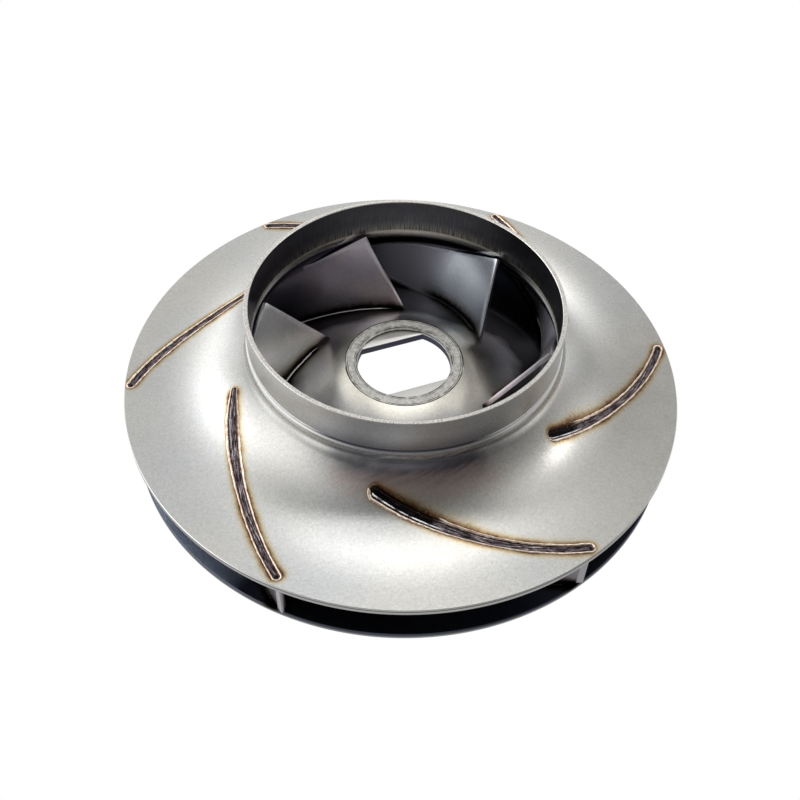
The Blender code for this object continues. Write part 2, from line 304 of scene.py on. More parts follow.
def weld_shift(radius, index):
    """How far a front weld lies off its even place at a radius, in degrees."""
    turn, tilt, bow = FRONT_WELDS[index][:3]
    share = (radius - WELD_MIDDLE) / WELD_HALF
    return turn + tilt * share + bow * share ** 2


def weld_angle(radius, index):
    return vane_angle(radius) + weld_shift(radius, index) + index * 360 / VANE_COUNT


def plan_point(radius, degrees):
    angle = math.radians(degrees)
    return Vector((radius * math.cos(angle), radius * math.sin(angle), 0))


def pick(*pieces):
    """Selects these pieces and no others, with the first one active."""
    bpy.ops.object.select_all(action="DESELECT")
    for piece in reversed(pieces):
        piece.select_set(True)
        bpy.context.view_layer.objects.active = piece


def named(name):
    """The piece that was just made, with its name."""
    piece = bpy.context.object
    piece.name = piece.data.name = name
    return piece


def joined(*pieces):
    pick(*pieces)
    bpy.ops.object.join()
    return bpy.context.object


def draw_out(way):
    """In edit mode: extrudes what is selected."""
    bpy.ops.mesh.extrude_region_move(TRANSFORM_OT_translate={"value": way})


def close_up():
    """Turns all faces outward and leaves edit mode."""
    bpy.ops.mesh.select_all(action="SELECT")
    bpy.ops.mesh.normals_make_consistent(inside=False)
    bpy.ops.object.mode_set(mode="OBJECT")


def turned(name, outline):
    """Lathe work: a circle is drawn out from point to point of the section and closed on itself."""
    pick()
    radius, height = outline[0]
    bpy.ops.mesh.primitive_circle_add(vertices=SIDES, radius=radius, location=(0, 0, height))
    piece = named(name)
    bpy.ops.object.transform_apply()
    bpy.ops.object.mode_set(mode="EDIT")
    for radius_next, height_next in outline[1:] + outline[:1]:
        wider = radius_next / radius
        draw_out((0, 0, height_next - height))
        bpy.ops.transform.resize(value=(wider, wider, 1), center_override=(0, 0, 0))
        radius, height = radius_next, height_next
    bpy.ops.mesh.select_all(action="SELECT")
    bpy.ops.mesh.remove_doubles(threshold=0.000005)
    close_up()
    return piece


def smooth(piece, degrees=30):
    pick(piece)
    bpy.ops.object.shade_smooth_by_angle(angle=math.radians(degrees))


def apply_all(piece):
    pick(piece)
    for modifier in list(piece.modifiers):
        bpy.ops.object.modifier_apply(modifier=modifier.name)


def round_off(piece, width, angle, segments=2):
    """Applies a bevel to the edges that turn by more than an angle in degrees."""
    bevel = piece.modifiers.new("edges", "BEVEL")
    bevel.width = width
    bevel.segments = segments
    bevel.limit_method = "ANGLE"
    bevel.angle_limit = math.radians(angle)
    apply_all(piece)


def drawn_line(points):
    """In edit mode: a chain of edges, drawn from point to point by extruding its end."""
    bpy.ops.mesh.select_all(action="DESELECT")
    bpy.ops.mesh.primitive_plane_add(size=0.001, location=points[0])
    bpy.ops.mesh.merge(type="CENTER")
    for before, after in zip(points, points[1:]):
        draw_out(after - before)


def line_piece(name, *lines):
    """A new piece that starts as one or more drawn lines, left in edit mode."""
    pick()
    bpy.ops.mesh.primitive_plane_add(size=0.001)
    piece = named(name)
    bpy.ops.object.mode_set(mode="EDIT")
    bpy.ops.mesh.delete(type="VERT")
    for line in lines:
        drawn_line(line)
    return piece


def slot_tool(angle_at, reach, low, high):
    """A curved bar with round ends, for milling one slot: a line, raised to a wall and thickened."""
    inner, outer = reach[0] + SLOT_WIDTH * 0.1, reach[1] - SLOT_WIDTH * 0.1
    line = [plan_point(r, angle_at(r)) + Vector((0, 0, low)) for r in spread(inner, outer, SLOT_STEPS)]
    tool = line_piece("slot tool", line)
    bpy.ops.mesh.select_all(action="SELECT")
    draw_out((0, 0, high - low))
    bpy.ops.object.mode_set(mode="OBJECT")
    wall = tool.modifiers.new("wall", "SOLIDIFY")
    wall.thickness = SLOT_WIDTH
    wall.offset = 0
    wall.use_even_offset = True
    round_off(tool, SLOT_WIDTH * 0.49, 60, 6)
    return tool


def mill(piece, tool):
    """Cuts the tool's shape out of a piece, and puts the tool away."""
    cut = piece.modifiers.new("slots", "BOOLEAN")
    cut.operation = "DIFFERENCE"
    cut.object = tool
    cut.solver = "EXACT"
    apply_all(piece)
    bpy.data.objects.remove(tool)


slope, foot, _ = curl_foot(OUTER_FACE)
outside = [(LIP_RADIUS - LIP_CHAMFER, LIP_TOP), (LIP_RADIUS, LIP_TOP - LIP_CHAMFER)]
outside += arc(FILLET_CENTER, OUTER_FACE[0], math.pi, math.pi * 1.5 - slope, FILLET_STEPS[0])
outside += [(r, front_top(r)) for r in spread(foot, RIM_RADIUS - EDGE_ROUND, CURL_STEPS[0])[1:]]
rim = [(RIM_RADIUS, RIM_TOP - EDGE_ROUND), (RIM_RADIUS, RIM_TOP - RIM_SHEET + EDGE_ROUND)]
slope, foot, _ = curl_foot(INNER_FACE)
inside = [(r, front_under(r)) for r in spread(RIM_RADIUS - EDGE_ROUND, foot, CURL_STEPS[1])[:-1]]
inside += arc(FILLET_CENTER, INNER_FACE[0], math.pi * 1.5 - slope, math.pi, FILLET_STEPS[1])
inside += [(LIP_RADIUS - LIP_SHEET, LIP_TOP)]
front_shroud = turned("front_shroud_sheet", outside + rim + inside)
for index, weld in enumerate(FRONT_WELDS):
    mill(front_shroud, slot_tool(lambda r: weld_angle(r, index), weld[3:], *FRONT_SLOT_REACH))
smooth(front_shroud)


STEEL = (0.595, 0.595, 0.58, 1)
WHITE = (1, 1, 1, 1)

# Sizes of the noise in the steel, as waves in a metre, and how strong its parts are
CLOUD_SCALE = 45
SPECK_SCALE = 1100
GRAIN_SCALE = 2600
PEEL_SCALE = 500
SATIN_SCALE = 160
SPECKS = 0.55
GRAIN_DEPTH = 0.000010

# The distance over which a line's slope is measured, and how far a fit runs on past its ends
SLOPE_STEP = 0.0005
FIT_MARGIN = (0.006, 0.002)


def new_finish(name):
    """A metal material: its shader, and the wire of its Object coordinates."""
    finish = bpy.data.materials.new(name)
    finish.use_nodes = True
    shader = finish.node_tree.nodes["Principled BSDF"]
    shader.inputs["Metallic"].default_value = 1.0
    place = Wire(finish.node_tree).node("TexCoord", None, None, "Object")
    return finish, shader, place


def feed(shader, socket, wire):
    wire.tree.links.new(wire.socket, shader.inputs[socket])


def noise(place, scale, detail, rough=0.5):
    return place.node("TexNoise", None, {"Vector": place, "Scale": scale, "Detail": detail,
                                         "Roughness": rough})


def unrest(place, scale, detail, reach):
    """Noise that goes as far down as up, by half its reach."""
    return (noise(place, scale, detail) - 0.5) * reach


def satin(place, roughness, reach=0.10):
    """Roughness that rises from a value in soft clouds."""
    return noise(place, SATIN_SCALE, 3) * reach + roughness


def axis(place, name):
    return place.node("SeparateXYZ", None, {0: place}, name)


def off_radius(place):
    """The distance of a point from the shaft's axis."""
    x, y = axis(place, "X"), axis(place, "Y")
    return (x * x + y * y).math("SQRT")


def front_angle(place):
    """The angle round the axis from straight in front, to the right, in radians."""
    return axis(place, "X").math("ARCTAN2", axis(place, "Y") * -1.0)


def on_sides(angle, start, full):
    """1 on both sides of the impeller and 0 in front and behind, by the angle from the front."""
    return angle.step(start, full) * (1.0 - angle.step(1.9, 2.3))


def curve_wire(radius, values_at, low, high):
    """A wire for a smooth function of the radius, fitted by a polynomial between two radii."""
    middle, half = (low + high) / 2, (high - low) / 2
    radii = np.linspace(low, high, 60)
    factors = np.polyfit((radii - middle) / half, [values_at(r) for r in radii], 4)
    share = (radius - middle) / half
    total = share * factors[0] + factors[1]
    for factor in factors[2:]:
        total = total * share + factor
    return total


def line_slant(angle_at, radius):
    """How much shorter the way across a vane line is than the way round at that radius."""
    turn = math.radians(angle_at(radius + SLOPE_STEP) - angle_at(radius - SLOPE_STEP)) / (2 * SLOPE_STEP)
    return 1 / math.sqrt(1 + (radius * turn) ** 2)


def distance_to_lines(place, angle_at, reach, shift=0.0, ends=None):
    """How far a point lies from the nearest of six lines, and how far to the left of it, in metres."""
    start, end = ends or reach
    radius = off_radius(place)
    angle = axis(place, "Y").math("ARCTAN2", axis(place, "X"))
    wide = (reach[0] - FIT_MARGIN[0], reach[1] + FIT_MARGIN[1])
    line = curve_wire(radius, lambda r: math.radians(angle_at(r)), *wide)
    slant = curve_wire(radius, lambda r: line_slant(angle_at, r), *wide)
    sixths = (angle - line - shift) / VANE_TURN + (2 * VANE_COUNT + 0.5)
    across_way = (sixths.math("FRACT") - 0.5) * VANE_TURN * radius * slant
    foot_radius = radius + across_way * (1.0 - slant * slant).math("SQRT")
    beyond = (start - foot_radius).math("MAXIMUM", 0) + (foot_radius - end).math("MAXIMUM", 0)
    beyond = beyond / slant
    return (across_way * across_way + beyond * beyond).math("SQRT"), across_way


def sheen(place, base, clouding=0.05):
    """Steel color with soft cloudy patches and fine specks."""
    clouds = noise(place, CLOUD_SCALE, 3)
    specks = noise(place, GRAIN_SCALE, 1) * 0.5 + noise(place, SPECK_SCALE, 2) * 0.5
    grey = (clouds - 0.5) * 2 * clouding + (specks - 0.5) * SPECKS + 1.0
    return grey.node("CombineColor", None, {0: grey, 1: grey, 2: grey}).times(base)


def bump(height, depth, strength=1.0):
    return height.node("Bump", None, {"Strength": strength, "Distance": depth, "Height": height})


def grain(place):
    """The fine orange peel of pickled sheet."""
    return bump(noise(place, GRAIN_SCALE, 2) + noise(place, PEEL_SCALE, 2) * 1.5, GRAIN_DEPTH)


# Heat tint outside the edge of a weld: the share of its reach, and the color that the steel keeps
TINT_STOPS = ((0.00, (0.16, 0.09, 0.055)), (0.08, (0.40, 0.25, 0.14)), (0.26, (0.68, 0.52, 0.32)),
              (0.42, (0.86, 0.76, 0.58)), (0.62, (0.96, 0.91, 0.80)), (1.00, (1.0, 1.0, 1.0)))
TINT_REACH = 0.0021
TINT_EDGE = 0.00155
TINT_LINE = (0.0532, 0.0828)
TINT_INSET = (0.0010, 0.0011)
TINT_SIDE = (-0.0012, 0.0012)
SMOKE = (0.48, 0.38, 0.35, 1)

# Painted shade on the neck in front, a dark reflection painted into the steel, with a warm tint below
# it: share of the way down from the lip, and the color kept. It lies round a middle a little to the right,
# in radians, and fades out on both sides.
STAIN_TOP = 0.0329
STAIN_LENGTH = 0.0105
STAIN_MIDDLE = 0.10
STAIN_FADE = (0.22, 0.62)
STAIN_STOPS = ((0.00, (1.0, 1.0, 1.08)), (0.09, (0.32, 0.32, 0.38)), (0.36, (0.23, 0.21, 0.25)),
               (0.52, (0.68, 0.56, 0.58)), (0.72, (1.0, 0.84, 0.79)), (1.00, (1.0, 1.0, 1.0)))

# How sooty the inner end of each front weld is, how far out its soot reaches, and how sooty the rest is
SOOT = ((0.0, 0.056, 0.0), (0.35, 0.060, 0.0), (1.0, 0.0635, 0.1), (0.9, 0.0590, 0.5), (0.2, 0.056, 0.1),
        (0.2, 0.056, 0.1))
SOOT_FADE = 0.004
SOOT_START = 0.002

# The sheet's cut rim from its top edge down: a painted highlight on the edge, a dark line of painted shade,
# the satin cut painted bright as lit, and the burr
RIM_STOPS = ((0.13, (1.0, 1.0, 0.98)), (0.20, (0.10, 0.10, 0.11)), (0.30, (0.10, 0.10, 0.11)),
             (0.40, (0.90, 0.90, 0.88)), (0.90, (0.85, 0.85, 0.84)), (1.00, (0.3, 0.3, 0.32)))

# Warm and cool drift over the outside; painted shade on the inside, darkest near the eye and lighter
# farther out, and where it changes
DRIFT_STOPS = ((0.35, (0.98, 0.995, 1.01)), (0.65, (1.02, 0.995, 0.955)))
INSIDE_NEAR = (0.085, 0.09, 0.13, 1)
INSIDE_FAR = (0.45, 0.47, 0.55, 1)
INSIDE_CHANGE = (0.052, 0.066)
INSIDE_DEPTH = 0.0012

# The neck's top is ground with the seam, and painted near white as a highlight on both sides
GROUND_STEEL = (0.98, 0.98, 0.97, 1)
GROUND_HEIGHT = (0.0318, 0.0332)


def painted(piece, name, values):
    """Gives each vertex a value that the piece's shader can read."""
    piece.data.attributes.new(name, "FLOAT", "POINT").data.foreach_set("value", values)


def painted_wire(place, name):
    return place.node("Attribute", {"attribute_name": name}, None, "Fac")


def heat_tint(place, beyond_edge, soot):
    """The steel's tint at a distance from a weld's edge, wider and darker where there is soot."""
    fraying = (noise(place, 900, 3, 0.7) - 0.5) * (soot * 0.0010 + 0.0008)
    distance = beyond_edge + fraying + unrest(place, 140, 2, 0.0014)
    share = distance / (soot * 0.7 + 1.0) / TINT_REACH
    smoke = (1.0 - (share * 1.6).step(0.0, 1.0)) * soot
    return share.ramp(*TINT_STOPS).times(smoke.mix(WHITE, SMOKE))


front_finish, shader, place = new_finish("satin pressed steel")
weld_far, weld_left = distance_to_lines(place, vane_angle, TINT_LINE, painted_wire(place, "weld_shift"),
                                        (painted_wire(place, "weld_from"), painted_wire(place, "weld_to")))
soot = painted_wire(place, "weld_soot") * weld_left.step(*TINT_SIDE)
drift = noise(place, 22, 2).ramp(*DRIFT_STOPS)
off_middle = (front_angle(place) - STAIN_MIDDLE + unrest(place, 90, 3, 0.5)).math("ABSOLUTE")
brushed = axis(place, "Z") * 900 - axis(place, "X") * 300
wisps = noise(place.node("CombineXYZ", None, {0: axis(place, "X") * 120, 1: brushed}), 1.0, 3)
# Painted shade: the dark band across the neck in front, ragged with wisps, with a warm tint below it
stain = (STAIN_TOP - axis(place, "Z") + (wisps - 0.5) * 0.0030) / STAIN_LENGTH
stain = (1.0 - off_middle.step(*STAIN_FADE)).mix(WHITE, stain.ramp(*STAIN_STOPS))
steel_color = sheen(place, STEEL).times(drift).times(stain)
outer_color = steel_color.times(heat_tint(place, weld_far - TINT_EDGE, soot))
radius = off_radius(place)
inside = painted_wire(place, "inside")
# Painted shade: the shroud's inner face is darkened, most near the eye
inner_color = sheen(place, radius.step(*INSIDE_CHANGE).mix(INSIDE_NEAR, INSIDE_FAR), 0.15)
# Painted highlight and painted shade on the rim's cut edge
rim_color = ((RIM_TOP - axis(place, "Z")) / RIM_SHEET).ramp(*RIM_STOPS)
# Painted highlight: a near white, less metallic band at the neck's top, on the sides only
ground = axis(place, "Z").step(*GROUND_HEIGHT) * on_sides(front_angle(place).math("ABSOLUTE"), 0.45, 0.75)
body_color = inside.mix(ground.mix(outer_color, GROUND_STEEL), inner_color)
feed(shader, "Metallic", 1.0 - ground * (1.0 - inside) * 0.75)
feed(shader, "Base Color", radius.step(RIM_RADIUS - 0.0003, RIM_RADIUS - 0.0001).mix(body_color, rim_color))
feed(shader, "Roughness", satin(place, 0.16, 0.08) + radius.step(0.054, 0.068) * 0.07)
feed(shader, "Normal", grain(place))
front_shroud.data.materials.clear()
front_shroud.data.materials.append(front_finish)

corners = np.array([corner.co for corner in front_shroud.data.vertices])
corner_radius = np.clip(np.hypot(corners[:, 0], corners[:, 1]), *TINT_LINE)
corner_angle = np.degrees(np.arctan2(corners[:, 1], corners[:, 0]))
nearest = np.round((corner_angle - vane_angle(corner_radius)) * VANE_COUNT / 360).astype(int) % VANE_COUNT
painted(front_shroud, "inside",
        [float(z < front_top(math.hypot(x, y)) - INSIDE_DEPTH) for x, y, z in corners])
painted(front_shroud, "weld_shift",
        [math.radians(weld_shift(r, index)) for r, index in zip(corner_radius, nearest)])
painted(front_shroud, "weld_from", [FRONT_WELDS[index][3] + TINT_INSET[0] for index in nearest])
painted(front_shroud, "weld_to", [FRONT_WELDS[index][4] - TINT_INSET[1] for index in nearest])
soot_shares = []
for reach, index in zip(np.hypot(corners[:, 0], corners[:, 1]), nearest):
    strength, soot_end, rest = SOOT[index]
    fading = np.clip((soot_end - reach) / SOOT_FADE + 0.5, 0, 1)
    starting = np.clip((reach - FRONT_WELDS[index][3]) / SOOT_START + 0.3, 0, 1)
    soot_shares.append(max(strength * fading, rest) * starting)
painted(front_shroud, "weld_soot", soot_shares)
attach(front_shroud, "root")
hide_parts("front_shroud")


# The eye ring is a turned steel ring that stands on the lip. Its wall is 1.3 mm thick, its top edge
# is faced bright, and the seam at its foot is ground, with a fine groove over it. The seam is painted
# as a bright highlight on the sides and as a dark line of shade in front.

_, ring_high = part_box("eye_ring")
RING_OUTER = ring_high.x
RING_WALL = 0.0013
RING_INNER = RING_OUTER - RING_WALL
RING_TOP = ring_high.z
RING_FOOT = LIP_TOP - 0.0001
RING_ROUND = 0.00015

# The ground seam, from its top down: how far each point stands out of the wall and over the foot
SEAM_SECTION = ((0.0, 0.00110), (-0.00040, 0.00104), (-0.00040, 0.00096), (-0.00002, 0.00068),
                (0.00003, 0.00058), (0.00003, 0.00010), (-0.00012, 0.0))

ring_outline = [(RING_OUTER - RING_ROUND, RING_TOP), (RING_OUTER, RING_TOP - RING_ROUND)]
ring_outline += [(RING_OUTER + out, RING_FOOT + up) for out, up in SEAM_SECTION]
ring_outline += [(RING_INNER, RING_FOOT), (RING_INNER, RING_TOP - RING_ROUND)]
ring_outline += [(RING_INNER + RING_ROUND, RING_TOP)]
eye_ring = turned("eye_ring_turned", ring_outline)
smooth(eye_ring)

# Colors of the ring: its streaky inner wall, painted dark as shade, warm and then pale at the foot; the
# outer wall in front from the foot up, painted as a dark then bright reflection; the seam, painted as
# shade in front and as a highlight on the sides; and the top
STREAK_STOPS = ((0.30, (0.075, 0.08, 0.10)), (0.70, (0.125, 0.12, 0.13)))
WARM_FOOT = (0.50, 0.46, 0.38, 1)
PALE_FOOT = (0.75, 0.70, 0.62, 1)
FRONT_FOOT = (0.36, 0.36, 0.41, 1)
FRONT_WALL = (0.78, 0.78, 0.80, 1)
DARK_SEAM = (0.10, 0.10, 0.12, 1)
BRIGHT_SEAM = (1.0, 1.0, 0.98, 1)
SPARKLE_STOPS = ((0.35, (0.55, 0.53, 0.50)), (0.60, (1.0, 0.97, 0.92)))

ring_finish, shader, place = new_finish("turned ring steel")
height = axis(place, "Z")
over_foot = height - RING_FOOT
turn_angle = axis(place, "Y").math("ARCTAN2", axis(place, "X"))
streak_place = place.node("CombineXYZ", None, {0: turn_angle * 110, 1: height * 160})
streaks = noise(streak_place, 1.0, 4, 0.6)
within = 1.0 - off_radius(place).step(RING_INNER + 0.0001, RING_INNER + 0.0003)
on_top = height.step(RING_TOP - 0.0003, RING_TOP - 0.0001)
low_band = 1.0 - over_foot.step(0.0, 0.0055)
# Painted shade: the inner wall's turning streaks are kept near black
wall = (low_band * streaks.step(0.35, 0.70)).mix(streaks.ramp(*STREAK_STOPS), WARM_FOOT)
wall = over_foot.step(0.0005, 0.0012).mix(PALE_FOOT, wall)
beside = front_angle(place).math("ABSOLUTE")
# Painted reflection: in front, the outer wall is dark at the foot and bright higher up
outer = beside.step(0.35, 0.80).mix(over_foot.step(0.0, 0.0075).mix(FRONT_FOOT, FRONT_WALL), STEEL)
seam = over_foot.step(0.0003, 0.0005) * (1.0 - over_foot.step(0.0010, 0.0012))
# Painted shade on the seam in front, and a painted highlight on it at the sides, less metallic there
polished = on_sides(beside, 0.40, 0.70)
outer = (seam * (1.0 - polished)).mix(sheen(place, outer), DARK_SEAM)
outer = (seam * polished).mix(outer, BRIGHT_SEAM)
sides = within.mix(outer, wall)
sparkle = noise(place, 3500, 2).ramp(*SPARKLE_STOPS)
feed(shader, "Base Color", on_top.mix(sides, sparkle))
feed(shader, "Metallic", 1.0 - seam * polished * 0.75)
feed(shader, "Roughness", satin(place, 0.24))
feed(shader, "Normal", grain(place))
eye_ring.data.materials.append(ring_finish)
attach(eye_ring, "root")
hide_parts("eye_ring")


# The back shroud is a 2 mm sheet too: a flat annulus that rises as a cone to the hub. The vanes'
# feet are welded to it through slots, which show on its underside.

_, back_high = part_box("back_shroud")
land_low, land_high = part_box("hub_land")
BACK_RADIUS = back_high.x
BACK_SHEET = 0.0020
HUB_RADIUS = land_high.x
HUB_TOP = land_high.z
HUB_BEND_RADIUS = 0.030
HUB_BEND_START = math.radians(18)
CONE_SLOPE = math.radians(29)
CONE_FILLET = 0.010
FOOT_STATIONS = ((0.0279, 90.6), (0.0340, 112.0), (0.0400, 126.0), (0.0460, 136.2), (0.0525, 145.9),
                 (0.0595, 156.0))
LEAN_END = FOOT_STATIONS[-1][0]
FOOT_CURVE = np.polyfit(*zip(*FOOT_STATIONS), 4)
BACK_WELD = (0.0310, 0.0812)
BACK_SLOT_REACH = (-0.004, 0.030)

SEAT_RADIUS = HUB_RADIUS + 0.00015
BEND_CENTER = (SEAT_RADIUS - HUB_BEND_RADIUS * math.sin(HUB_BEND_START),
               HUB_TOP - HUB_BEND_RADIUS * math.cos(HUB_BEND_START))
BEND_FOOT = (BEND_CENTER[0] + HUB_BEND_RADIUS * math.sin(CONE_SLOPE),
             BEND_CENTER[1] + HUB_BEND_RADIUS * math.cos(CONE_SLOPE))
CONE_END = BEND_FOOT[0] + (BEND_FOOT[1] - BACK_SHEET) / math.tan(CONE_SLOPE)
CONE_CENTER = (CONE_END + CONE_FILLET * math.tan(CONE_SLOPE / 2), BACK_SHEET + CONE_FILLET)


def back_top(radius):
    """Height of the back shroud's upper face."""
    if radius < BEND_FOOT[0]:
        return BEND_CENTER[1] + math.sqrt(HUB_BEND_RADIUS ** 2 - (radius - BEND_CENTER[0]) ** 2)
    if radius < CONE_CENTER[0] - CONE_FILLET * math.sin(CONE_SLOPE):
        return BEND_FOOT[1] - (radius - BEND_FOOT[0]) * math.tan(CONE_SLOPE)
    if radius < CONE_CENTER[0]:
        return CONE_CENTER[1] - math.sqrt(CONE_FILLET ** 2 - (CONE_CENTER[0] - radius) ** 2)
    return BACK_SHEET


def foot_angle(radius):
    """Angle, in degrees, where the first vane's foot crosses a radius."""
    return np.polyval(FOOT_CURVE, radius) if radius < LEAN_END else vane_angle(radius)


def foot_line_angle(radius, index):
    return foot_angle(radius) + index * 360 / VANE_COUNT


up = math.pi / 2
bend_span = (up - HUB_BEND_START, up - CONE_SLOPE)
cone_span = (math.pi * 1.5 - CONE_SLOPE, math.pi * 1.5)
back_outline = arc(BEND_CENTER, HUB_BEND_RADIUS, *bend_span, 8)
cone_start, cone_stop = back_outline[-1], arc(CONE_CENTER, CONE_FILLET, *cone_span, 1)[0]
for share in spread(0, 1, 8)[1:-1]:
    back_outline.append(tuple(a + (b - a) * share for a, b in zip(cone_start, cone_stop)))
back_outline += arc(CONE_CENTER, CONE_FILLET, *cone_span, 10)
back_outline += [(r, BACK_SHEET) for r in spread(CONE_CENTER[0], BACK_RADIUS - EDGE_ROUND, 8)[1:]]
back_outline += [(BACK_RADIUS, BACK_SHEET - EDGE_ROUND), (BACK_RADIUS, EDGE_ROUND)]
back_outline += [(BACK_RADIUS - EDGE_ROUND, 0)]
back_outline += arc(CONE_CENTER, CONE_FILLET + BACK_SHEET, *reversed(cone_span), 10)
back_outline += arc(BEND_CENTER, HUB_BEND_RADIUS - BACK_SHEET, *reversed(bend_span), 8)
back_outline[-1] = (SEAT_RADIUS, back_outline[-1][1])
back_shroud = turned("back_shroud_sheet", back_outline)
back_tools = []
for index in range(VANE_COUNT):
    back_tools.append(slot_tool(lambda r: foot_line_angle(r, index), BACK_WELD, *BACK_SLOT_REACH))
mill(back_shroud, joined(*back_tools))
smooth(back_shroud)


# The upper face from the hub out, as a share of the radius, with painted light and shade: a painted
# highlight round the hub, painted shade in the deep passages, and at the outlet painted shade too, but a
# bright painted reflection on the left. The cut edge is painted a bluish shade.
FOOT_LINE = (0.0312, 0.0820)
DEEP_STOPS = ((0.235, (1.30, 1.25, 1.14)), (0.28, (1.0, 0.99, 0.97)), (0.36, (0.9, 0.9, 0.9)),
              (0.42, (0.06, 0.055, 0.06)), (0.80, (0.05, 0.05, 0.065)))
DARK_OUTLET = (0.10, 0.11, 0.15, 1)
LEFT_OUTLET = (1.25, 1.40, 1.68, 1)
CUT_EDGE = (0.24, 0.255, 0.34, 1)
FOOT_SHADE = (0.05, 0.04, 0.04, 1)

back_finish, shader, place = new_finish("satin back steel")
radius = off_radius(place)
foot_far, _ = distance_to_lines(place, foot_angle, FOOT_LINE)
cone = (BEND_FOOT[0] - radius) * math.tan(CONE_SLOPE) + BEND_FOOT[1]
inner_side = (axis(place, "Z") - cone.math("MAXIMUM", BACK_SHEET)).step(-0.0012, -0.0008)
ahead, right = (axis(place, name) / radius for name in "YX")
# The painted light and shade reach farther out in front and less far on the right
from_hub = radius + unrest(place, 130, 3, 0.006)
from_hub = from_hub + ahead.step(0.55, 0.85) * 0.008 - right.step(0.55, 0.85) * 0.005
deep = (from_hub / BACK_RADIUS).ramp(*DEEP_STOPS)
# Painted shade at the outlet, and a bright painted reflection at its left
off_left = (front_angle(place) + 0.98 + unrest(place, 60, 2, 0.3)).math("ABSOLUTE")
outlet = off_left.step(0.32, 0.48).mix(LEFT_OUTLET, DARK_OUTLET)
deep = radius.step(0.062, 0.070).mix(deep, outlet)
# Painted shade: the cut edge is bluish dark
deep = radius.step(BACK_RADIUS - 0.0004, BACK_RADIUS - 0.0002).mix(deep, CUT_EDGE)
tint = heat_tint(place, foot_far - 0.0009, inner_side)
# Painted shade: near black along each vane's foot, over the heat tint
tint = tint.times(foot_far.step(0.0014, 0.0034).mix(FOOT_SHADE, WHITE))
steel_color = sheen(place, STEEL).times(inner_side.mix(WHITE, deep))
feed(shader, "Base Color", steel_color.times(inner_side.mix(WHITE, tint)))
feed(shader, "Roughness", satin(place, 0.26))
feed(shader, "Normal", grain(place))
back_shroud.data.materials.append(back_finish)
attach(back_shroud, "root")
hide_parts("back_shroud")


# The hub is a thin ring, seated in the cone, over a plate with the double-D hole for the shaft. Both
# are pressed from sheet, spot welded together and faced, so their seams stay as rough fine lines.

LAND_BORE = 0.0147
LAND_ROUND = 0.00012
BORE_ROUND = 0.00010
PLATE_BORE = 0.0145
PLATE_ROUND = 0.00015
ACROSS_FLATS = 0.0205
FLATS_ANGLE = math.radians(22.4)
plate_low, plate_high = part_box("hub_plate")

land_outline = [
    (HUB_RADIUS - LAND_ROUND, HUB_TOP),
    (HUB_RADIUS, HUB_TOP - LAND_ROUND),
    (HUB_RADIUS, land_low.z),
    (LAND_BORE, land_low.z),
    (LAND_BORE, HUB_TOP - BORE_ROUND),
    (LAND_BORE + BORE_ROUND, HUB_TOP),
] + [(r, HUB_TOP) for r in spread(LAND_BORE + 0.0002, HUB_RADIUS - 0.0002, 8)]
hub_land = turned("hub_land_ring", land_outline)
smooth(hub_land)

# Rough rings that the facing tool and the spot welding left: radius and half width
HUB_LINES = ((0.01494, 0.00015), (0.01550, 0.00009), (0.01765, 0.00010), (0.01828, 0.00020))


def ring_lines(place):
    """1 on any of the rough circular lines and 0 between them."""
    wander = unrest(place, 500, 3, 0.00045) + unrest(place, 120, 2, 0.0006)
    broken = noise(place, 330, 2).step(0.34, 0.52)
    radius = off_radius(place) + wander
    total = radius * 0.0
    for middle, half in HUB_LINES:
        off = (radius - middle).math("ABSOLUTE")
        total = total.math("MAXIMUM", 1.0 - off.step(half * 0.5, half * 1.8))
    return total * broken


# Colors of the hub: the ring's pitted face, the plate's face, the rough lines and painted shade on the
# hole's wall
PIT_STOPS = ((0.30, (0.44, 0.43, 0.40)), (0.50, (0.64, 0.63, 0.59)), (0.72, (0.84, 0.82, 0.77)))
PIT_DEPTH = 0.00004
PLATE_FACE = (0.86, 0.85, 0.82, 1)
LINE_COLOR = (0.10, 0.09, 0.08, 1)
HOLE_WALL = (0.10, 0.105, 0.15, 1)

hub_finish, shader, place = new_finish("faced hub steel")
pits = noise(place, 900, 3, 0.7)
on_land = off_radius(place).step(LAND_BORE - 0.0002, LAND_BORE)
face = on_land.mix(PLATE_FACE, pits.ramp(*PIT_STOPS))
face = ring_lines(place).mix(face, LINE_COLOR)
wall = painted_wire(place, "drop").step(0.0001, 0.0003)
# Painted shade on the plate's walls below its face
feed(shader, "Base Color", wall.mix(face, HOLE_WALL))
feed(shader, "Roughness", noise(place, 300, 3) * 0.14 + 0.34)
feed(shader, "Normal", bump(pits * on_land, PIT_DEPTH, 0.6))
hub_land.data.materials.append(hub_finish)
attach(hub_land, "root")
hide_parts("hub_land")


def disc(name, radius, depth):
    """A disc round the axis, halfway up the hub plate."""
    pick()
    bpy.ops.mesh.primitive_cylinder_add(vertices=180, radius=radius, depth=depth,
                                        location=(0, 0, (plate_low.z + plate_high.z) / 2))
    bpy.ops.object.transform_apply()
    return named(name)


